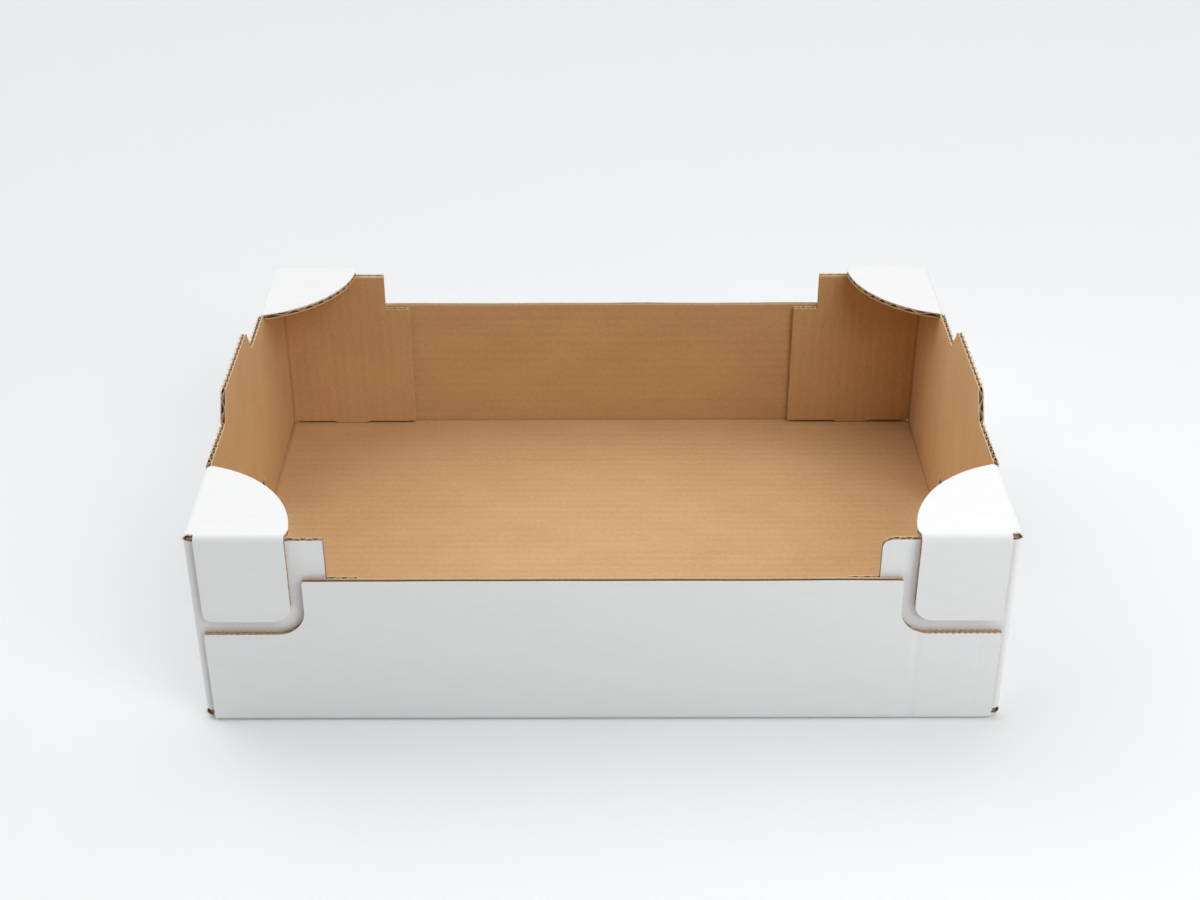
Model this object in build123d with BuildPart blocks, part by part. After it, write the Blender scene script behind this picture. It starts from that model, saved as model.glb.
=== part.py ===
from build123d import *

import os

# An open stacking tray of the kind used for fruit: one die-cut sheet of corrugated board, folded and glued.
# The origin is in the middle of the underside. X runs along the tray, Y across it and Z up.
# The sheet is the same at all four corners, so one quarter is built and mirrored twice.

# Outside of the folded tray
tray_length = 398.0         # between the outer faces of the end walls
tray_width = 298.0          # between the outer faces of the long walls
platform_height = 110.2     # from the underside to the top of the corner platforms

# The board, its folds and its cuts
board = 3.2                 # thickness of the board
fold_radius = 0.5           # inside of every fold
glue_gap = 0.25             # glue line between two layers, and clearance of layers that only meet
cut_width = 0.5             # a slit cut between two panels
fold_play = 0.5             # from the fold of one wall to the end of the fold beside it

# Long walls, which dip between the corners and are notched at each end for the tabs
side_dip = 25.2             # from the platforms down to the top of the long walls
notch_depth = 31.3          # from the top of the long wall down to its low ends
notch_radius = 14.0         # inner corner of the notch
wall_lip_radius = 1.5       # upper corner of the notch
wall_end_play = 1.3         # from the fold of the end wall to the end of the long wall

# Platforms, which fold in from the end walls at the corners
platform_run = 65.5         # along the end wall
platform_reach = 49.8       # in from the end wall
platform_bulge = 11.1       # rise of the round edge over its chord
platform_shoulder = 9.0     # from the long wall's face to where the edge turns in to the tab

# Tabs, which fold down from the platforms and are glued to the flaps
tab_tuck = 1.2              # from the platform's reach in to the edge of the tab
tab_play = 2.0              # from the fold of the end wall to the outer edge of the tab
tab_side_gap = 6.4          # between the tab and the upright edge of the notch
tab_foot_gap = 7.8          # between the tab and the low end of the long wall
tab_inner_radius = 9.5      # lower corner towards the middle of the tray
tab_outer_radius = 4.5      # lower corner towards the end wall

# Corner flaps, which turn in from the end walls and are glued inside the long walls
flap_lap = 11.3             # from the notch to the edge of the flap's tall part
flap_step_run = 14.6        # length of the low part beyond the tall part
flap_step_drop = 1.2        # from the top of the long wall down to the low part
flap_lift = 0.9             # from the top of the floor's fold up to the flap
foot_start = 29.0           # from the end wall to the foot that holds the flap off the floor
foot_run = 22.5             # length of the foot
foot_slope = 1.5            # slanted stretch at each end of the foot
worn_corner_radius = 5.0    # the flap at the front right, whose upper corner is worn round

# Crests, which stand up from the end walls into the slots at the foot of the tray above
crest_length = 84.0         # at its foot
crest_rise = 15.0           # above the platforms
crest_slope = 10.5          # from the end of the foot to the end of the top
crest_radius = 4.0          # upper corners
crest_foot_radius = 2.0     # inner corners at the foot
stack_play = 2.0            # room for the crest at each end of the slot
stack_headroom = 13.2       # room for the crest at the top of the slot
stack_slack = 2.0           # room for the crest on the floor side of the slot
slot_slope = 5.5            # from the end of the slot at its foot to the end of its top

# Sizes that follow from these
half_length = tray_length / 2
half_width = tray_width / 2
fold_outside = board + fold_radius
flap_face = board + glue_gap
wall_height = platform_height - side_dip
wall_end_height = wall_height - notch_depth
wall_end = half_length - fold_outside - wall_end_play
tab_reach = platform_reach - tab_tuck
tab_inner = half_length - tab_reach
tab_outer = half_length - fold_outside - tab_play
tab_foot = wall_end_height + tab_foot_gap
notch_edge = tab_inner - tab_side_gap
platform_end = half_width - platform_run
panel_top = platform_height - fold_outside
fold_end = half_width - fold_outside - fold_play
flap_plane = half_width - flap_face
flap_tall_edge = notch_edge - flap_lap
flap_edge = flap_tall_edge - flap_step_run
flap_low = fold_outside + flap_lift
flap_top = panel_top - glue_gap
flap_step = wall_height - flap_step_drop
foot_low = board + glue_gap
foot_outer = half_length - foot_start
foot_inner = foot_outer - foot_run
crest_foot = crest_length / 2
crest_top = crest_foot - crest_slope
crest_height = platform_height + crest_rise
slot_end = crest_foot + stack_play
slot_height = crest_rise + stack_headroom
slot_depth = board + stack_slack


def corner(sketch, x, y):
    """The corner of a sketch that lies nearest to a point of its plane."""
    return sketch.vertices().sort_by_distance((x, y, 0))[0]


# Each fold is a quarter ring of board. Its plane lies across the fold, with the middle of the bend
# at its origin and the ring in its first quadrant. The length is that of the fold, on one quarter.
folds = [
    # floor to long wall
    (Plane((0, half_width - fold_outside, fold_outside), (0, 0, -1), (1, 0, 0)), wall_end),
    # floor to end wall
    (Plane((half_length - fold_outside, 0, fold_outside), (1, 0, 0), (0, 1, 0)), fold_end),
    # end wall to flap
    (
        Plane((half_length - fold_outside, flap_plane - fold_outside, flap_low), (1, 0, 0), (0, 0, 1)),
        flap_top - flap_low,
    ),
    # end wall to platform
    (
        Plane((half_length - fold_outside, platform_end, panel_top), (0, 0, 1), (0, 1, 0)),
        fold_end - platform_end,
    ),
    # platform to tab
    (
        Plane((tab_inner, half_width - fold_outside, panel_top), (0, 1, 0), (1, 0, 0)),
        tab_outer - tab_inner,
    ),
]

with BuildPart() as quarter:
    # Floor
    with BuildSketch(Plane.XY):
        Rectangle(half_length - fold_outside, half_width - fold_outside, align=Align.MIN)
    extrude(amount=board)

    # Long wall, high in the middle of the tray and stepped down to its end
    with BuildSketch(Plane.XZ.offset(-half_width)) as long_wall:
        with BuildLine():
            Polyline(
                (0, fold_outside),
                (wall_end, fold_outside),
                (wall_end, wall_end_height),
                (notch_edge, wall_end_height),
                (notch_edge, wall_height),
                (0, wall_height),
                close=True,
            )
        make_face()
        fillet(corner(long_wall, notch_edge, wall_end_height), notch_radius)
        fillet(corner(long_wall, notch_edge, wall_height), wall_lip_radius)
    extrude(amount=board)

    # End wall, up to the fold under the platform, and past a slit up to the crest
    with BuildSketch(Plane.YZ.offset(half_length - board)) as end_wall:
        with BuildLine():
            Polyline(
                (0, fold_outside),
                (flap_plane - fold_outside, fold_outside),
                (flap_plane - fold_outside, panel_top),
                (platform_end - cut_width, panel_top),
                (platform_end - cut_width, platform_height),
                (crest_foot, platform_height),
                (crest_top, crest_height),
                (0, crest_height),
                close=True,
            )
        make_face()
        fillet(corner(end_wall, crest_top, crest_height), crest_radius)
        fillet(corner(end_wall, crest_foot, platform_height), crest_foot_radius)
    extrude(amount=board)

    # Corner flap, tall beside the platform, then low behind the long wall, on a foot
    with BuildSketch(Plane.XZ.offset(-flap_plane)):
        with BuildLine():
            Polyline(
                (half_length - fold_outside, flap_low),
                (half_length - fold_outside, flap_top),
                (flap_tall_edge, flap_top),
                (flap_tall_edge, flap_step),
                (flap_edge, flap_step),
                (flap_edge, flap_low),
                (foot_inner, flap_low),
                (foot_inner + foot_slope, foot_low),
                (foot_outer - foot_slope, foot_low),
                (foot_outer, flap_low),
                close=True,
            )
        make_face()
    extrude(amount=board)

    # Platform, with a round edge that turns in to the tab
    with BuildSketch(Plane.XY.offset(platform_height - board)):
        with BuildLine():
            round_edge = SagittaArc(
                (half_length - fold_outside, platform_end),
                (half_length - platform_reach, half_width - platform_shoulder),
                platform_bulge,
            )
            turn = TangentArc(
                round_edge @ 1,
                (tab_inner, half_width - fold_outside),
                tangent=round_edge % 1,
            )
            Polyline(
                turn @ 1,
                (half_length - fold_outside, half_width - fold_outside),
                round_edge @ 0,
            )
        make_face()
    extrude(amount=board)

    # Tab, flush with the long wall
    with BuildSketch(Plane.XZ.offset(-half_width)) as tab:
        with BuildLine():
            Polyline(
                (tab_inner, panel_top),
                (tab_inner, tab_foot),
                (tab_outer, tab_foot),
                (tab_outer, panel_top),
                close=True,
            )
        make_face()
        fillet(corner(tab, tab_inner, tab_foot), tab_inner_radius)
        fillet(corner(tab, tab_outer, tab_foot), tab_outer_radius)
    extrude(amount=board)

    # Folds between these panels
    for bend, run in folds:
        with BuildSketch(bend):
            Circle(fold_outside)
            Circle(fold_radius, mode=Mode.SUBTRACT)
            Rectangle(fold_outside, fold_outside, align=Align.MIN, mode=Mode.INTERSECT)
        extrude(amount=run)

    # Slot at the foot of the end wall, through its fold and the edge of the floor, narrower at its top
    with BuildSketch(Plane.YZ.offset(half_length - slot_depth)):
        with BuildLine():
            Polyline(
                (0, 0),
                (slot_end, 0),
                (slot_end, fold_outside),
                (slot_end - slot_slope, slot_height),
                (0, slot_height),
                close=True,
            )
        make_face()
    extrude(amount=slot_depth, mode=Mode.SUBTRACT)

with BuildPart() as tray:
    add(quarter.part)
    mirror(about=Plane.YZ)
    mirror(about=Plane.XZ)

    # The worn corner of one flap
    worn_corner = (flap_tall_edge, -flap_plane, flap_top)
    fillet(tray.edges().filter_by(Axis.Y).sort_by_distance(worn_corner)[0], worn_corner_radius)

os.makedirs("parts", exist_ok=True)
tray.part.label = "tray"
export_step(tray.part, "parts/tray.step")
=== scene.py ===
# %% [markdown]
# # A stacking tray of corrugated board
#
# The object is an open tray, cut with a die from one sheet of corrugated board, folded up and glued at its
# corners. It is white outside and brown inside. The packed model holds the tray as one plain solid, as
# thick as the board. This lesson dresses that solid as what it is: two sheets of paper with a fluted sheet
# between them. It takes every place and size from the solid, so that nothing has to be fitted.

# %% Load the frame
import math

import bmesh
import bpy
from mathutils import Matrix, Vector, noise


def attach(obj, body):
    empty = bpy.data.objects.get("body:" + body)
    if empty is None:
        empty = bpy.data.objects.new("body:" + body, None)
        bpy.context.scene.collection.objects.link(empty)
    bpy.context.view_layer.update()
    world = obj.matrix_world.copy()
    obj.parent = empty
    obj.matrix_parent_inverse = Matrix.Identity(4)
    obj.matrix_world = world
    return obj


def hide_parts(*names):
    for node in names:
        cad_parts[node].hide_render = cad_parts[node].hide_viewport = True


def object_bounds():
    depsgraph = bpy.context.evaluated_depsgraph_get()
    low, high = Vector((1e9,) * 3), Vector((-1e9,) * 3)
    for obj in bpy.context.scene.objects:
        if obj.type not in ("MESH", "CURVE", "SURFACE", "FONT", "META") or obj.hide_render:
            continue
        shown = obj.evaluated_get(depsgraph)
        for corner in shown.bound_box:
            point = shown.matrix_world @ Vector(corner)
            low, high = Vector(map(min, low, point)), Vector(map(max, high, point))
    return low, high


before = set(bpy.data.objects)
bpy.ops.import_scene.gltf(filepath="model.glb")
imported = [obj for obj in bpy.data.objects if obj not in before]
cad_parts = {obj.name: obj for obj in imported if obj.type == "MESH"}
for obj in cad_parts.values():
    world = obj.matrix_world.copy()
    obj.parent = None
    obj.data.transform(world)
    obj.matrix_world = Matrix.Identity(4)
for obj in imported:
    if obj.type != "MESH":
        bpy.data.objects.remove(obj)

cad_low, cad_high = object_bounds()
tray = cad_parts["tray"]
mm = 0.001
cad_size = [round(side / mm, 1) for side in cad_high - cad_low]
print("tray", cad_size, "mm,", len(tray.data.polygons), "triangles")

# %% [markdown]
# ## The two faces of the sheet
#
# A folded sheet has two faces and a cut edge all round. On the solid, a fold is a small round, so one face
# of the sheet runs smoothly from panel to panel, and only the cut edge meets it at a right angle. A walk
# over the mesh that starts on the floor and never crosses a sharp edge therefore finds one whole face. The
# walk is safer than picking faces by their direction, because inside and outside panels can face the same
# way.

# %% Walk over one face of the sheet
merge_distance = 0.001 * mm
cut_angle = math.radians(60)
flat_angle = math.radians(0.5)
flat_share = 0.9999


def face_of_sheet(facing):
    """One face of the sheet as a bmesh: the white one faces down at the floor, the brown one faces up."""
    bm = bmesh.new()
    bm.from_mesh(tray.data)
    bmesh.ops.remove_doubles(bm, verts=bm.verts, dist=merge_distance)
    level = [face for face in bm.faces if face.normal.z * facing > flat_share]
    start = min(level, key=lambda face: face.calc_center_median().z)
    reached = {start}
    waiting = [start]
    while waiting:
        for edge in waiting.pop().edges:
            for face in edge.link_faces:
                if face not in reached and edge.calc_face_angle(math.pi) < cut_angle:
                    reached.add(face)
                    waiting.append(face)
    bmesh.ops.delete(bm, geom=[face for face in bm.faces if face not in reached], context="FACES")
    bmesh.ops.dissolve_limit(bm, angle_limit=flat_angle, verts=bm.verts, edges=bm.edges)
    bm.normal_update()
    return bm


white_face = face_of_sheet(-1)
brown_face = face_of_sheet(1)
board = min(v.co.z for v in brown_face.verts) - min(v.co.z for v in white_face.verts)
print("white face", len(white_face.faces), "faces, brown face", len(brown_face.faces), "faces")
print("board", round(board / mm, 3), "mm")

# %% [markdown]
# ## Cut lines
#
# The die cuts the ends of the long walls and the feet of the tabs with a wavy blade, so that their edges
# are ridged. The long top edges are cut straight, and the board springs back a little unevenly there. Both
# show in the photo. Each such line is an edge of the outermost plane of the face, so it can be found by its
# place: it runs along the tray, or stands at the end of a long wall. It is divided into short stretches,
# and the new points move to and fro across it. The shift depends only on the place along the cut, so that
# all layers of the board are cut alike. The right end of the tray is more ridged than the left one.

# %% Shape the cut lines
wave_period = 2.9 * mm
left_ridge = 0.12 * mm
right_ridge = 0.28 * mm
wave_steps = 6
uneven_rise = 0.45 * mm
uneven_run = 45 * mm
uneven_step = 5 * mm
plane_play = 1 * mm
shortest_line = 8 * mm


def cut_shift(place, point, is_wavy):
    """How far a cut line lies off its straight course, at a place along it."""
    if is_wavy:
        ridge = right_ridge if point.x > 0 else left_ridge
        return ridge * math.sin(math.tau * place / wave_period)
    return uneven_rise * noise.noise((place / uneven_run, math.copysign(1, point.y), 0))


def shape_cut_lines(bm):
    """Divides the cut lines of the long walls and tabs, and moves their points."""
    outermost = max(v.co.y for v in bm.verts)
    lines = []
    for edge in bm.edges:
        a, b = (v.co for v in edge.verts)
        outside = min(abs(a.y), abs(b.y)) > outermost - plane_play
        level = abs(a.z - b.z) < merge_distance
        wall_end = abs(a.x - b.x) < merge_distance and min(a.z, b.z) < cad_high.z / 2
        if edge.is_boundary and outside and (level or wall_end) and edge.calc_length() > shortest_line:
            lines.append((edge, level))
    for edge, level in lines:
        a, b = (v.co for v in edge.verts)
        is_wavy = a.x * b.x > 0
        step = wave_period / wave_steps if is_wavy else uneven_step
        made = bmesh.ops.bisect_edges(bm, edges=[edge], cuts=round(edge.calc_length() / step))
        for v in made["geom_split"]:
            if isinstance(v, bmesh.types.BMVert):
                if level:
                    v.co.z += cut_shift(v.co.x, v.co, is_wavy)
                else:
                    v.co.x += cut_shift(v.co.z, v.co, is_wavy)
    return len(lines)


white_lines = shape_cut_lines(white_face)
brown_lines = shape_cut_lines(brown_face)
print("cut lines", white_lines, "on the white face,", brown_lines, "on the brown one")

# %% [markdown]
# ## Where a point was on the flat sheet
#
# The flutes of the board all ran one way before it was folded, along the tray. On the floor, the long
# walls, the platforms and the tabs they still do, and on the end walls and the flaps they stand upright. A
# pattern that follows them needs the place that each point had on the flat sheet, so that is what the UV
# map holds: the first value runs along the flutes, the second across them, both in metres.

# %% Unfold a point
half_length = cad_high.x
half_width = cad_high.y
platform_top = max(face.calc_center_median().z for face in white_face.faces if face.normal.z > flat_share)
turned_share = 0.1


def on_flat_sheet(point, normal, is_flap, is_upper):
    """The place along and across the flutes that a point had before the sheet was folded."""
    end = math.copysign(1, point.x)
    side = math.copysign(1, point.y)
    if is_flap:
        return end * (half_length + point.z), side * (abs(point.y) + half_length - abs(point.x))
    if abs(normal.y) > turned_share:
        return point.x, side * (abs(point.y) + (platform_top - point.z if is_upper else point.z))
    if abs(normal.x) > turned_share:
        return end * (half_length + point.z), point.y
    return point.x, point.y


def is_flap_face(face, is_white):
    """Whether a face belongs to a corner flap, which lies one board's thickness inside the long wall."""
    depth = half_width - abs(face.calc_center_median().y)
    if abs(face.normal.y) < turned_share or abs(face.normal.z) > turned_share:
        return False
    return depth > (board if is_white else 2 * board)


def unfold(bm, is_white):
    """Writes the flat sheet's coordinates to a UV map."""
    layer = bm.loops.layers.uv.new("flat_sheet")
    for face in bm.faces:
        flap = is_flap_face(face, is_white)
        upper = min(v.co.z for v in face.verts) > platform_top / 2
        for loop in face.loops:
            loop[layer].uv = on_flat_sheet(loop.vert.co, face.normal, flap, upper)


unfold(white_face, True)
unfold(brown_face, False)
flaps = sum(1 for face in white_face.faces if is_flap_face(face, True) and abs(face.normal.y) > flat_share)
print("platform top", round(platform_top / mm, 2), "mm, flaps", flaps)

# %% [markdown]
# ## Panels and folds
#
# Three later steps ask what kind of face they have: a flat panel or a fold, a wide panel or a narrow strip,
# and one in which the flutes lie or stand. A fold is creased over a little more than its bend, so each
# panel also gets a line beside its folds, at the width of the crease. The paper is wrinkled up to that line
# and smooth past it.

# %% Tell panels from folds
crease_width = 1.6 * mm


def is_panel(face):
    """Whether a face lies flat in one of the tray's planes, and not in a fold."""
    return max(map(abs, face.normal)) > flat_share


def is_wide(face):
    """Whether a flat face is wider than the strips along the folds and the cuts."""
    return is_panel(face) and face.calc_area() > crease_width * face.calc_perimeter()


def stands_upright(face, is_white):
    """Whether the flutes stand upright in a face, as in the end walls and the flaps."""
    return abs(face.normal.x) > turned_share or is_flap_face(face, is_white)


def crease_lines(bm, number):
    """Lines beside each fold, at the crease's width: the panel's number, a point and the way across."""
    lines = {}
    for edge in bm.edges:
        beside = [loop for loop in edge.link_loops if is_panel(loop.face)]
        if len(edge.link_loops) == 2 and len(beside) == 1:
            start = beside[0].vert.co
            along = beside[0].link_loop_next.vert.co - start
            inward = beside[0].face.normal.cross(along).normalized()
            point = start + inward * crease_width
            key = (beside[0].face[number], round(point.dot(inward) / merge_distance))
            lines[key] = (beside[0].face[number], point, inward)
    return list(lines.values())


def cut_across(bm, faces, point, way):
    """Cuts some faces of a bmesh along a plane, and leaves the others whole."""
    edges = {edge for face in faces for edge in face.edges}
    verts = {v for face in faces for v in face.verts}
    bmesh.ops.bisect_plane(bm, geom=list(faces) + list(edges) + list(verts), plane_co=point, plane_no=way)


wide = sum(1 for face in brown_face.faces if is_wide(face))
print("wide panels", wide, "on the brown face")

# %% [markdown]
# ## Paper with a thickness
#
# Each face of the board is a sheet of paper about a third of a millimetre thick. An open sheet becomes one
# with a front, a rim and a back when all of its faces are extruded and the copies are moved back. The rim
# of a cut is thicker than the paper, because the die turns a burr. The burr is long where the cut crosses
# the flutes, as on the tops of the end walls and the flaps, and short where it runs along them. On the
# front flaps the photo shows the mouths of the flutes, so the burr is shorter there than on the rear ones.
# Every point of the rim therefore gets its own reach.

# %% Thicken a sheet
rim_along = 0.42 * mm
rim_across = 0.55 * mm
end_burr = 1.2 * mm
front_flap_burr = 0.5 * mm
rear_flap_burr = 0.9 * mm
sharp_angle = math.radians(38)
# the last index: raw rims on the flaps, and the left flap's band painted pale as painted light
front_paper, rim_paper, back_paper, flap_rim_and_painted_light = range(4)


def rim_reach(v, is_white):
    """How far the paper reaches into the board at a cut, by the way that the cut crosses the flutes."""
    upright = any(stands_upright(face, is_white) for face in v.link_faces)
    on_flap = any(is_flap_face(face, is_white) for face in v.link_faces)
    along = Vector((0, 0, 1)) if upright else Vector((1, 0, 0))
    runs = [edge.verts[1].co - edge.verts[0].co for edge in v.link_edges if edge.is_boundary]
    crossing = 1 - sum(abs(run.normalized().dot(along)) for run in runs) / len(runs)
    if on_flap:
        burr = rear_flap_burr if v.co.y > 0 else front_flap_burr
    elif upright and is_white:
        burr = end_burr
    else:
        burr = rim_across
    return rim_along + (burr - rim_along) * crossing


def thicken(bm, depth, at_rim=None):
    """Gives an open sheet its thickness behind the way it faces, and numbers its front, rim and back."""
    reach = bm.verts.layers.float.new("reach")
    for v in bm.verts:
        v[reach] = at_rim(v) if at_rim and v.is_boundary else depth
    front = bm.faces[:]
    made = bmesh.ops.extrude_face_region(bm, geom=front)["geom"]
    for v in made:
        if isinstance(v, bmesh.types.BMVert):
            v.co -= v.normal * v[reach]
    for face in bm.faces:
        face.material_index = rim_paper
        face.smooth = True
    for face in front:
        face.material_index = front_paper
    for face in made:
        if isinstance(face, bmesh.types.BMFace):
            face.material_index = back_paper
    bmesh.ops.recalc_face_normals(bm, faces=bm.faces)
    for edge in bm.edges:
        edge.smooth = edge.calc_face_angle(math.pi) < sharp_angle


print("rims from", round(rim_along / mm, 2), "to", round(end_burr / mm, 2), "mm")

# %% [markdown]
# ## Creases in the front wall
#
# The photo shows two upright creases near the right end of the front wall, where the board was bent in
# handling. A bump in the material would fade from the side, so they are shaped. Five cuts across each
# crease give it a bottom, two slopes and two rims, and the points between are pushed in along a cosine,
# which has no corners.

# %% Dent the front wall
dents = [
    # place along the tray, half of the width, depth
    (153.1 * mm, 3.2 * mm, 0.30 * mm),
    (183.8 * mm, 2.2 * mm, 0.09 * mm),
]
dent_cuts = (-1, -0.5, 0, 0.5, 1)
rim_press = 0.12 * mm


def dent(bm, where, width, depth):
    """An upright crease in the front wall, at a place along the tray."""
    way = Vector((1, 0, 0))
    for share in dent_cuts:
        front = [face for face in bm.faces if face.normal.y < -flat_share and not is_flap_face(face, True)]
        low = [face for face in front if min(v.co.z for v in face.verts) < platform_top / 2]
        cut_across(bm, low, way * (where + share * width), way)
    for v in bm.verts:
        on_front = v.co.y < -half_width + rim_press + merge_distance and v.co.z < platform_top / 2
        off = abs(v.co.x - where) / width
        if on_front and off < 1:
            v.co.y += depth * (1 + math.cos(math.pi * off)) / 2
    bm.normal_update()


print("creases", len(dents))

# %% [markdown]
# ## Pressed flaps
#
# The rear flaps have a pale band along their tops, where a tray above has pressed the board thin. The brown
# face is cut along the foot of the band and pushed back more and more towards the top. The fluted paper
# behind it has to give way as much, so the share of the press at a point is a function that both use. The
# other edges of the rear flaps are pressed only at their rims. On the left flap the faces of the band get
# the pale paper of a raw rim, as painted light: that band catches more light than the right one.

# %% Press the rear flaps
flap_panels = [face for face in brown_face.faces if is_flap_face(face, False) and is_panel(face)]
flap_top = max(v.co.z for face in flap_panels for v in face.verts)
flap_inside = min(abs(v.co.y) for face in flap_panels for v in face.verts)
press_width = 1.2 * mm
press_depth = 1.1 * mm
press_foot = Vector((0, 0, flap_top - press_width))
upwards = Vector((0, 0, 1))
flap_rim_press = 0.4 * mm


def press_share(v):
    """How far a point of a rear flap lies up the pressed band: 0 at the band's foot, 1 at the top."""
    return max(0.0, (v.co.z - press_foot.z) / press_width) if v.co.y > 0 else 0.0


def press_flap_tops(bm):
    """Presses the brown face of the rear flaps back along their tops."""
    rear = [face for face in bm.faces if is_flap_face(face, False) and face.normal.y < 0]
    cut_across(bm, rear, press_foot, upwards)
    for v in bm.verts:
        if abs(abs(v.co.y) - flap_inside) < merge_distance and v.co.z < flap_top + merge_distance:
            v.co.y += math.copysign(press_depth * press_share(v), v.co.y)
    bm.normal_update()


def is_on_flap(point):
    """Whether a point lies in the thickness of a flap."""
    depth = abs(point.y) - flap_inside
    return -merge_distance < depth < board + merge_distance and board < point.z < flap_top + merge_distance


def is_painted_lit_band(point):
    """Whether a point lies on the pressed band of the left flap, which is painted pale as painted light."""
    return point.x < 0 < point.y and point.z > press_foot.z and is_on_flap(point)


def rim_depth(v, is_white):
    """How far the die and the wear have pressed a point of the rim in."""
    worn = not is_white and v.co.y > 0 and is_on_flap(v.co) and press_share(v) == 0
    return flap_rim_press if worn else rim_press


print("flap top", round(flap_top / mm, 2), "mm, inner face at", round(flap_inside / mm, 2), "mm")

# %% [markdown]
# ## Liners
#
# Now each face of the board becomes its liner. A narrow band is inset along every cut edge, and its rim is
# pushed in, because a die presses the paper down where it cuts. The crease lines go in panel by panel: a
# cut through the whole mesh would also divide other panels that happen to cross its plane. The points of
# the folds are marked in an attribute, for the paper's material. Last comes the thickness, towards the
# inside of the board.

# %% Make the liners
paper = 0.36 * mm
rim_width = 0.6 * mm


def make_liner(face_bm, is_white):
    """A sheet of paper from one face of the board, with its folds marked and its cut rim pressed in."""
    bm = face_bm.copy()
    number = bm.faces.layers.int.new("panel")
    for count, face in enumerate(bm.faces):
        face[number] = count
    lines = crease_lines(bm, number)
    bmesh.ops.inset_region(bm, faces=bm.faces, thickness=rim_width, use_boundary=True, use_even_offset=True)
    for panel, point, inward in lines:
        cut_across(bm, [face for face in bm.faces if face[number] == panel], point, inward)
    mark = bm.verts.layers.float.new("fold")
    for v in bm.verts:
        in_fold = not all(is_panel(face) for face in v.link_faces)
        v[mark] = 1.0 if in_fold and not any(is_wide(face) for face in v.link_faces) else 0.0
    bm.normal_update()
    if not is_white:
        press_flap_tops(bm)
    for v in [v for v in bm.verts if v.is_boundary]:
        v.co -= v.normal * rim_depth(v, is_white)
    bm.normal_update()
    if is_white:
        for where, width, depth in dents:
            dent(bm, where, width, depth)
    thicken(bm, paper, lambda v: rim_reach(v, is_white))
    for face in bm.faces:
        middle = face.calc_center_median()
        raw = face.material_index == rim_paper and is_on_flap(middle)
        # painted light: the left rear flap's band gets the pale rim paper
        painted_lit = face.material_index == front_paper and is_painted_lit_band(middle) and not is_white
        if raw or painted_lit:
            face.material_index = flap_rim_and_painted_light
    return bm


white_liner = make_liner(white_face, True)
brown_liner = make_liner(brown_face, False)
print("liners", len(white_liner.faces), "and", len(brown_liner.faces), "faces")

# %% [markdown]
# ## Fluted paper
#
# Between the liners lies a sheet of paper in waves, glued to them at each crest. It shows wherever the
# board is cut across the flutes, as a row of arches. Each flat panel is copied from the white face, sunk to
# the middle of the board and sliced across the flutes, and then the slices are lifted and lowered along a
# sine wave. A wave made from slices of the panel ends exactly at the panel's outline, whatever shape that
# has.
#
# The long walls are cut along the flutes, so there it matters where in its wave the paper is at the cut. In
# the photo it stands half-way between the liners at the top of the front wall, and near the brown one at
# the back.

# %% Follow the flutes
flute_pitch = 5.98 * mm
flute_steps = 10
flute_phase = math.radians(180)
wall_top = max(v.co.z for v in brown_face.verts if abs(v.co.y) > half_width - board - merge_distance)


def across_flutes(face):
    """The direction across the flutes in a flat panel."""
    if abs(face.normal.y) < flat_share:
        return Vector((0, 1, 0))
    if is_flap_face(face, True):
        return Vector((1, 0, 0))
    return Vector((0, 0, 1))


def wall_phase(normal):
    """The wave's start in a long wall: half-way at the front's top, near the brown paper at the back's."""
    at_top = flute_phase if normal.y < 0 else flute_phase + math.pi / 2
    return at_top - math.tau * wall_top / flute_pitch


print("flutes", round(flute_pitch / mm, 2), "mm apart, long walls", round(wall_top / mm, 1), "mm high")

# %% Make the waves
medium = 0.50 * mm
wave_height = board / 2 - paper - medium / 2


def fluted_panel(index):
    """The fluted paper in one flat panel of the white face."""
    bm = white_face.copy()
    bm.faces.ensure_lookup_table()
    panel = bm.faces[index]
    normal = panel.normal.copy()
    across = across_flutes(panel)
    upright = stands_upright(panel, True)
    bmesh.ops.delete(bm, geom=[face for face in bm.faces if face is not panel], context="FACES")
    bmesh.ops.translate(bm, verts=bm.verts, vec=normal * -board / 2)
    step = flute_pitch / flute_steps
    heights = [v.co.dot(across) for v in bm.verts]
    for count in range(math.ceil(min(heights) / step), math.floor(max(heights) / step) + 1):
        cut_across(bm, bm.faces, across * count * step, across)
    start = wall_phase(normal) if across.z and not upright else 0.0
    on_rear_flap = across.x > 0 and normal.y > 0
    if on_rear_flap:
        cut_across(bm, bm.faces, press_foot, upwards)
    for v in bm.verts:
        pressed = press_depth * press_share(v) if on_rear_flap else 0.0
        rise = wave_height - pressed / 2
        v.co += normal * (pressed / 2 + rise * math.sin(math.tau * v.co.dot(across) / flute_pitch + start))
    bm.normal_update()
    bmesh.ops.translate(bm, verts=bm.verts, vec=normal * medium / 2)
    thicken(bm, medium)
    return bm


def join(target, part):
    """Adds one bmesh to another."""
    mesh = bpy.data.meshes.new("part")
    part.to_mesh(mesh)
    target.from_mesh(mesh)
    bpy.data.meshes.remove(mesh)
    part.free()


fluting = bmesh.new()
panels = [face.index for face in white_face.faces if is_panel(face)]
for index in panels:
    join(fluting, fluted_panel(index))
for face in fluting.faces:
    face.material_index = front_paper
print("fluted panels", len(panels), "with", len(fluting.faces), "faces")

# %% [markdown]
# ## Crushed board in the folds
#
# A creasing rule crushes the flutes along each fold, so the bend is filled with pressed paper. The strips
# of the brown face that lie in the folds are sunk by the thickness of the liner, and thickened until they
# meet the white liner on the other side. They show where a fold ends at a cut, at the corners of the tray.

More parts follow.
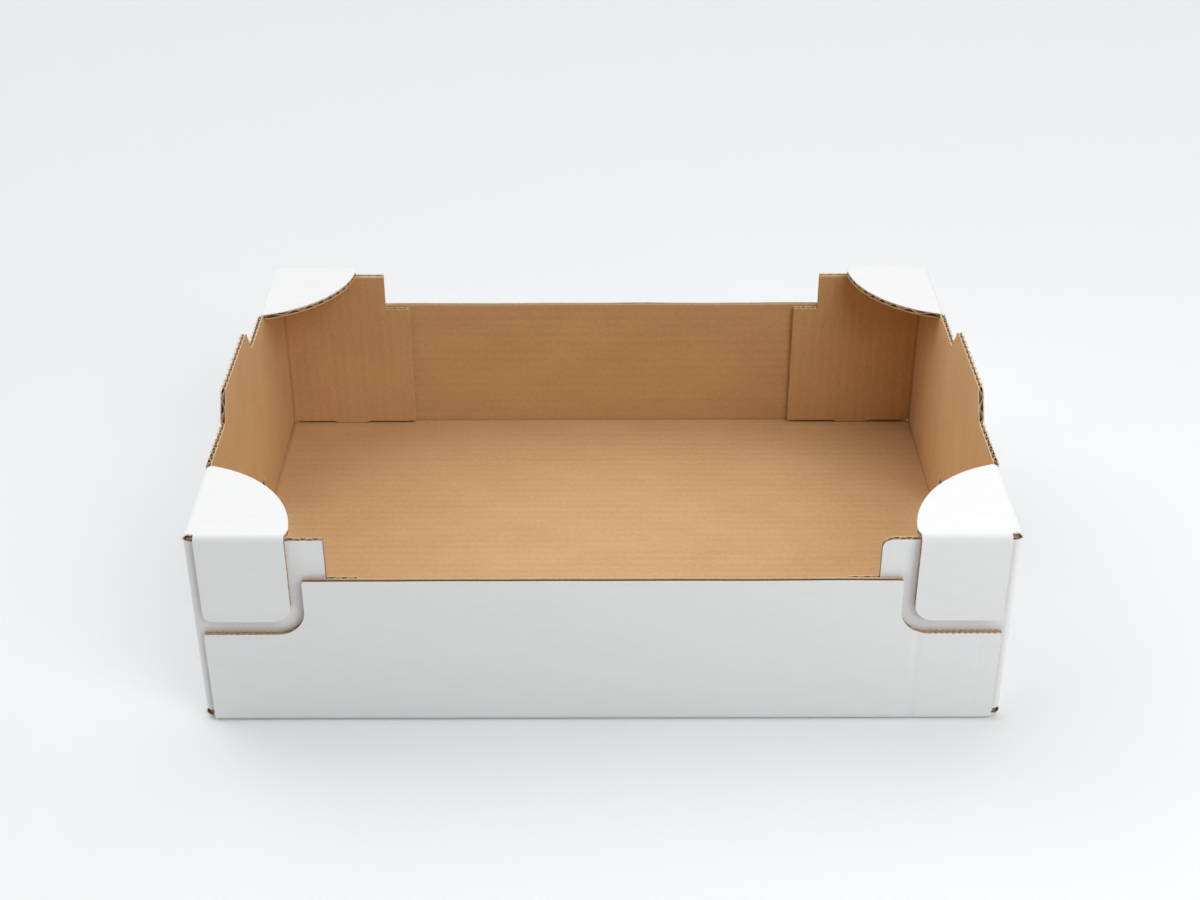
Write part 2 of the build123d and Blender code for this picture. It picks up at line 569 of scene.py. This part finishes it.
# %% Fill the folds
crushed = 1.1 * mm
fold_core = brown_face.copy()
fold_core.normal_update()
for v in fold_core.verts:
    v.co -= v.normal * paper
bmesh.ops.delete(fold_core, geom=[face for face in fold_core.faces if is_panel(face)], context="FACES")
thicken(fold_core, crushed)
for face in fold_core.faces:
    face.material_index = front_paper
print("folds", len(fold_core.faces), "faces")

# %% [markdown]
# ## Shader arithmetic
#
# The materials are mostly arithmetic on a few patterns. A small class wraps a node's output, so that
# arithmetic can be written as in any Python expression, and each operator adds the Math node that it needs.
# One method adds every other kind of node: it takes the node's type, its settings, and the values or links
# of its inputs.


# %% Wrap a socket
class Value:
    """An output of a shader node. Arithmetic on it adds Math nodes. Without a socket it only adds nodes."""

    # A Mix node keeps its sockets for colours behind those for other kinds of value.
    mix_share, mix_first, mix_second, mix_result = 0, 6, 7, 2

    def __init__(self, tree, socket=None):
        self.tree = tree
        self.socket = socket

    def node(self, kind, settings, inputs, output=0):
        """Adds a node, with its settings first, and returns one of its outputs."""
        made = self.tree.nodes.new(kind)
        for name, value in settings.items():
            setattr(made, name, value)
        for name, value in inputs.items():
            if isinstance(value, Value):
                self.tree.links.new(value.socket, made.inputs[name])
            else:
                made.inputs[name].default_value = value
        return Value(self.tree, made.outputs[output])

    def math(self, operation, first, second=0.0):
        """Adds a Math node for two values or numbers."""
        return self.node("ShaderNodeMath", {"operation": operation}, {0: first, 1: second})

    def __add__(self, other):
        return self.math("ADD", self, other)

    __radd__ = __add__

    def __sub__(self, other):
        return self.math("SUBTRACT", self, other)

    def __rsub__(self, other):
        return self.math("SUBTRACT", other, self)

    def __mul__(self, other):
        return self.math("MULTIPLY", self, other)

    __rmul__ = __mul__

    def or_else(self, other):
        """The larger of two values."""
        return self.math("MAXIMUM", self, other)

    def sine(self):
        """The sine of an angle in radians."""
        return self.math("SINE", self)

    def ramp(self, low, high):
        """Rises smoothly from 0 at low to 1 at high."""
        settings = {"interpolation_type": "SMOOTHSTEP"}
        return self.node("ShaderNodeMapRange", settings, {"Value": self, "From Min": low, "From Max": high})

    def noise(self, scale, detail, rough):
        """Smooth noise around 0.5 over a place, with as many features to the metre as the scale says."""
        stretched = self.node("ShaderNodeVectorMath", {"operation": "MULTIPLY"}, {0: self, 1: scale})
        inputs = {"Vector": stretched, "Scale": 1.0, "Detail": detail, "Roughness": rough}
        return self.node("ShaderNodeTexNoise", {"noise_dimensions": "3D"}, inputs)

    def blend(self, first, second):
        """Mixes two colours, with this value as the share of the second."""
        inputs = {self.mix_share: self, self.mix_first: first, self.mix_second: second}
        return self.node("ShaderNodeMix", {"data_type": "RGBA"}, inputs, self.mix_result)

    def bump(self):
        """A normal that shows this value as a height in metres."""
        return self.node("ShaderNodeBump", {}, {"Height": self, "Distance": 1.0, "Strength": 1.0})


print("methods", [name for name, method in vars(Value).items() if callable(method)])

# %% [markdown]
# Every paper starts as a material with its shader, and its patterns read one of two places: the place in
# the tray, from Object coordinates, or the place on the flat sheet, from the UV map. On the flat sheet the
# liners find three things: the washboard of the flutes, the mark of the folds, and noise.


# %% Start a paper
def new_paper(name, gloss):
    """A material and its shader."""
    material = bpy.data.materials.new(name)
    material.use_nodes = True
    shader = material.node_tree.nodes["Principled BSDF"]
    shader.inputs["Specular IOR Level"].default_value = gloss
    return material, shader


def place_in_tray(material):
    """The place of a point in the tray."""
    return Value(material.node_tree).node("ShaderNodeTexCoord", {}, {}, "Object")


def place_on_sheet(material):
    """The place that a point had on the flat sheet."""
    return Value(material.node_tree).node("ShaderNodeUVMap", {"uv_map": "flat_sheet"}, {})


def flute_waves(sheet):
    """The washboard that the flutes press through a liner, from -1 to 1."""
    across = sheet.node("ShaderNodeSeparateXYZ", {}, {0: sheet}, "Y")
    return (across * (math.tau / flute_pitch)).sine()


def fold_mark(sheet):
    """1 in a fold and 0 on a panel."""
    return sheet.node("ShaderNodeAttribute", {"attribute_name": "fold"}, {}, "Fac")


def connect(shader, **values):
    """Links values to the shader's sockets, whose names are written with underscores."""
    for name, value in values.items():
        value.tree.links.new(value.socket, shader.inputs[name.replace("_", " ")])


print("one wave of the washboard every", round(flute_pitch / mm, 2), "mm")

# %% [markdown]
# ## White paper
#
# The outside is a thin bleached layer on brown paper, so it is a cool white with a faint cloudy mottle,
# where more or less of the brown shows through. The flutes press through it as a washboard that only a
# raking light shows. Along the folds the white layer wrinkles and cracks, and the cracks are brown. Colour,
# roughness and height all come from the same few noises, so that a dull spot is also a rougher one. Each
# noise is written as its features to the metre along and across the flutes, its detail and its roughness.

# %% White liner
white_pale = (0.87, 0.875, 0.875, 1.0)
white_dull = (0.835, 0.838, 0.834, 1.0)
crack_brown = (0.50, 0.36, 0.22, 1.0)
white_gloss = 0.3
washboard_rise = 0.012 * mm
fibre_rise = 0.008 * mm
wrinkle_rise = 0.05 * mm
mottle_noise = ((60.0, 160.0, 1.0), 5.0, 0.6)
mottle_range = (0.35, 0.75)
mottle_share = 0.40
fibre_noise = ((300.0, 1500.0, 1.0), 3.0, 0.5)
fibre_range = (0.40, 0.85)
fibre_share = 0.25
crack_noise = ((260.0, 900.0, 1.0), 4.0, 0.65)
crack_range = (0.66, 0.80)
crack_share = 0.35
white_rough = 0.58
white_rough_spread = 0.12

white_paper, shader = new_paper("white_paper", white_gloss)
sheet = place_on_sheet(white_paper)
washboard = flute_waves(sheet)
fold = fold_mark(sheet)
mottle = sheet.noise(*mottle_noise)
fibres = sheet.noise(*fibre_noise)
cracks = sheet.noise(*crack_noise)
dull = mottle.ramp(*mottle_range) * mottle_share + fibres.ramp(*fibre_range) * fibre_share
worn = fold * cracks.ramp(*crack_range)
connect(shader, Base_Color=(worn * crack_share).blend(dull.blend(white_pale, white_dull), crack_brown))
connect(shader, Roughness=white_rough + white_rough_spread * mottle)
height = washboard * washboard_rise + fibres * fibre_rise + fold * cracks * wrinkle_rise
connect(shader, Normal=height.bump())
print("white paper", len(white_paper.node_tree.nodes), "nodes")

# %% [markdown]
# ## Brown paper
#
# The inside is unbleached kraft paper. Up close it is a fine grain with darker flecks. From further off it
# is cloudy, with faint streaks and bands along the flutes, because the glue lines darken the paper there.
# The noises are mixed into one depth first and coloured after that, so that no pattern stands out by
# itself. The folds are painted darker, as painted shade of the creases.

# %% Brown liner
kraft_pale = (0.694, 0.449, 0.229, 1.0)
kraft_deep = (0.583, 0.357, 0.168, 1.0)
kraft_fleck = (0.24, 0.13, 0.06, 1.0)
# painted shade of the creases, laid over the folds
kraft_fold_shade = (0.42, 0.24, 0.11, 1.0)
kraft_gloss = 0.25
streak_noise = ((7.0, 210.0, 1.0), 4.0, 0.6)
streak_share = 0.15
cloud_noise = ((24.0, 40.0, 1.0), 5.0, 0.6)
cloud_share = 0.37
grain_noise = ((420.0, 420.0, 1.0), 4.0, 0.65)
grain_share = 0.48
band_share = 0.026
deep_range = (0.28, 0.74)
fleck_noise = ((900.0, 420.0, 1.0), 2.0, 0.5)
fleck_range = (0.68, 0.80)
fleck_share = 0.35
fold_shade_share = 0.55
kraft_rough = 0.70
kraft_rough_spread = 0.16
kraft_rise = 0.016 * mm

brown_paper, shader = new_paper("brown_paper", kraft_gloss)
sheet = place_on_sheet(brown_paper)
washboard = flute_waves(sheet)
streaks = sheet.noise(*streak_noise)
clouds = sheet.noise(*cloud_noise)
grain = sheet.noise(*grain_noise)
flecks = sheet.noise(*fleck_noise)
deep = streak_share * streaks + cloud_share * clouds + grain_share * grain + band_share * washboard
colour = deep.ramp(*deep_range).blend(kraft_pale, kraft_deep)
colour = (flecks.ramp(*fleck_range) * fleck_share).blend(colour, kraft_fleck)
# painted shade along the folds, where the creases would shadow the paper
colour = (fold_mark(sheet) * fold_shade_share).blend(colour, kraft_fold_shade)
connect(shader, Base_Color=colour)
connect(shader, Roughness=kraft_rough + kraft_rough_spread * streaks)
height = washboard * washboard_rise + (streaks + grain) * kraft_rise
connect(shader, Normal=height.bump())
print("brown paper", len(brown_paper.node_tree.nodes), "nodes")

# %% [markdown]
# ## Raw papers
#
# Cut rims, the backs of the liners, the fluted paper and the crushed folds are raw paper that shows only at
# an edge. It is rougher, and its colour changes from fibre to fibre. These pieces have no useful place on
# the flat sheet, so the pattern reads the place in the tray. They differ only in colour: rims are pale,
# that of the white liner palest. The backs of the liners are painted dark as painted shade inside the
# board, so that an open flute looks like a hollow. The crushed folds are darker partly as pressed paper
# and partly as painted shade at the ends of the folds.

# %% Raw papers
raw_noise = ((900.0, 900.0, 900.0), 4.0, 0.65)
raw_range = (0.30, 0.72)
raw_rise = 0.05 * mm
raw_gloss = 0.2
raw_rough = 0.80
raw_rough_spread = 0.15
raw_colours = {
    # the pale and the deep fibres of each paper
    "bleached_rim": ((0.86, 0.81, 0.72, 1.0), (0.74, 0.64, 0.50, 1.0)),
    "kraft_rim": ((0.82, 0.63, 0.41, 1.0), (0.64, 0.45, 0.26, 1.0)),
    # the backs of the liners: painted shade inside the board
    "shaded_liner_back": ((0.36, 0.25, 0.145, 1.0), (0.27, 0.18, 0.10, 1.0)),
    "fluting_paper": ((0.62, 0.45, 0.27, 1.0), (0.46, 0.32, 0.18, 1.0)),
    # crushed paper, darkened further as painted shade at the ends of the folds
    "crushed_and_shaded_paper": ((0.40, 0.26, 0.14, 1.0), (0.24, 0.15, 0.08, 1.0)),
}


def raw_paper(name):
    """Rough paper whose colour changes from fibre to fibre."""
    material, shader = new_paper(name, raw_gloss)
    pale, deep = raw_colours[name]
    fibres = place_in_tray(material).noise(*raw_noise)
    connect(shader, Base_Color=fibres.ramp(*raw_range).blend(pale, deep))
    connect(shader, Roughness=raw_rough + raw_rough_spread * fibres)
    connect(shader, Normal=(fibres * raw_rise).bump())
    print(name, len(material.node_tree.nodes), "nodes")
    return material


bleached_rim = raw_paper("bleached_rim")
kraft_rim = raw_paper("kraft_rim")
shaded_liner_back = raw_paper("shaded_liner_back")
fluting_paper = raw_paper("fluting_paper")
crushed_and_shaded_paper = raw_paper("crushed_and_shaded_paper")

# %% [markdown]
# ## The pieces
#
# Each layer becomes one object that stands for the solid, so that the solid itself is hidden. The layers
# don't move against each other: they all ride on the one body. Weighted normals keep the flat panels flat
# in the light while the folds stay round.


# %% Put the pieces in place
def add_piece(name, bm, materials):
    """An object for one layer of the board."""
    mesh = bpy.data.meshes.new(name)
    bm.to_mesh(mesh)
    bm.free()
    for material in materials:
        mesh.materials.append(material)
    piece = bpy.data.objects.new(name, mesh)
    bpy.context.collection.objects.link(piece)
    weighted = piece.modifiers.new("flat_panels", "WEIGHTED_NORMAL")
    weighted.keep_sharp = True
    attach(piece, "root")
    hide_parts("tray")
    print(name, len(mesh.polygons), "faces")


add_piece("outer_liner", white_liner, [white_paper, bleached_rim, shaded_liner_back, kraft_rim])
add_piece("inner_liner", brown_liner, [brown_paper, kraft_rim, shaded_liner_back, kraft_rim])
add_piece("fluted_medium", fluting, [fluting_paper])
add_piece("crushed_folds", fold_core, [crushed_and_shaded_paper])

# %% [markdown]
# ## Floor
#
# The photo was taken on a white sweep. One large pale plane fills the view and takes the tray's soft
# shadow. It has no gloss, so that no lamp is mirrored in it.

# %% Floor
floor_side = 6.0
floor_white = (0.87, 0.88, 0.89, 1.0)
floor_rough = 0.9
floor_gloss = 0.0

floor_bm = bmesh.new()
bmesh.ops.create_grid(floor_bm, x_segments=1, y_segments=1, size=floor_side / 2)
floor_mesh = bpy.data.meshes.new("floor")
floor_bm.to_mesh(floor_mesh)
floor_bm.free()
floor = bpy.data.objects.new("floor", floor_mesh)
bpy.context.collection.objects.link(floor)
floor_paint = bpy.data.materials.new("floor_paint")
floor_paint.use_nodes = True
floor_shader = floor_paint.node_tree.nodes["Principled BSDF"]
floor_shader.inputs["Base Color"].default_value = floor_white
floor_shader.inputs["Roughness"].default_value = floor_rough
floor_shader.inputs["Specular IOR Level"].default_value = floor_gloss
floor_mesh.materials.append(floor_paint)
print("floor", floor_side, "m")

# %% [markdown]
# ## Light
#
# The photo has soft light from all round, most of it from above and behind, with more from the right at the
# front. Broad suns stand for the large far walls of light, because they light the whole tray evenly. The
# steep one at the front draws the shadows under the tabs. Two softboxes stand nearer, at the front right,
# because the front wall gets brighter towards that side. The backdrop looks white to the camera and in
# reflections, but lights next to nothing, so that the shadows keep their depth.

# %% Backdrop
backdrop_seen = 0.88
backdrop_light = 0.02
backdrop_white = (1.0, 1.0, 1.0, 1.0)

world = bpy.data.worlds.new("studio")
bpy.context.scene.world = world
world.use_nodes = True
sky = world.node_tree.nodes["Background"]
sky.inputs["Color"].default_value = backdrop_white
rays = world.node_tree.nodes.new("ShaderNodeLightPath").outputs
camera_ray, glossy_ray, clear_ray = (
    Value(world.node_tree, rays[name]) for name in ("Is Camera Ray", "Is Glossy Ray", "Is Transmission Ray")
)
seen = camera_ray.or_else(glossy_ray).or_else(clear_ray)
connect(sky, Strength=seen * (backdrop_seen - backdrop_light) + backdrop_light)
print("backdrop", backdrop_seen, "to the eye,", backdrop_light, "as light")

# %% Lamps
softness = math.radians(50)
softbox_size = 0.6
far_lights = [
    # name, degrees round from the right, degrees up, strength
    ("behind", 90, 55, 0.252),
    ("overhead", 90, 85, 0.085),
    ("left_behind", 135, 25, 0.333),
    ("left", 180, 55, 0.204),
    ("left_low", 180, 25, 0.056),
    ("right", 0, 55, 0.095),
    ("right_behind", 45, 25, 0.149),
    ("front_top", 310, 50, 0.18),
]
softboxes = [
    # name, place in metres, power in watts
    ("front_right", (1.0, -0.9, 0.47), 2.9),
    ("front", (0.5, -0.75, 0.95), 2.2),
]


def add_lamp(name, kind, place):
    """A lamp that faces the middle of the tray."""
    lamp = bpy.data.lights.new(name, kind)
    holder = bpy.data.objects.new(name, lamp)
    bpy.context.collection.objects.link(holder)
    holder.location = place
    holder.rotation_euler = (-Vector(place)).to_track_quat("-Z", "Y").to_euler()
    return lamp


for name, azimuth, elevation, strength in far_lights:
    flat = math.cos(math.radians(elevation))
    side = (math.cos(math.radians(azimuth)) * flat, math.sin(math.radians(azimuth)) * flat)
    lamp = add_lamp(name, "SUN", (*side, math.sin(math.radians(elevation))))
    lamp.angle = softness
    lamp.energy = strength * math.pi
for name, place, power in softboxes:
    lamp = add_lamp(name, "AREA", place)
    lamp.size = softbox_size
    lamp.energy = power
print("lamps", len(bpy.data.lights))

# %% [markdown]
# ## Camera
#
# The camera stands where the photo was taken from. Its place, its turn and its focal length come from
# matching corners of the tray with their places in the photo. The focal length is known in pixels of the
# photo, so the lens follows from the width of the photo and of the sensor. The view transform stays plain,
# so that a colour looks as it is written.

# %% Camera
image_width = 1200
focal_pixels = 1821
sensor_width = 36.0
matrix_size = 4
camera_place = (-0.0016, -0.8606, 0.5871)
pitch = math.radians(31.07)
yaw = math.radians(-0.03)
roll = math.radians(-0.11)

camera_data = bpy.data.cameras.new("camera")
camera_data.sensor_width = sensor_width
camera_data.lens = focal_pixels / image_width * sensor_width
camera = bpy.data.objects.new("camera", camera_data)
bpy.context.collection.objects.link(camera)
tilt = math.pi / 2 - pitch
stand = Matrix.Translation(camera_place)
for angle, axis in ((yaw, "Z"), (tilt, "X"), (roll, "Z")):
    stand = stand @ Matrix.Rotation(angle, matrix_size, axis)
camera.matrix_world = stand
bpy.context.scene.camera = camera
bpy.context.scene.view_settings.view_transform = "Standard"
print("lens", round(camera_data.lens, 2), "mm")

# %% [markdown]
# ## Sizes
#
# The dressed tray has to be as large as the solid.
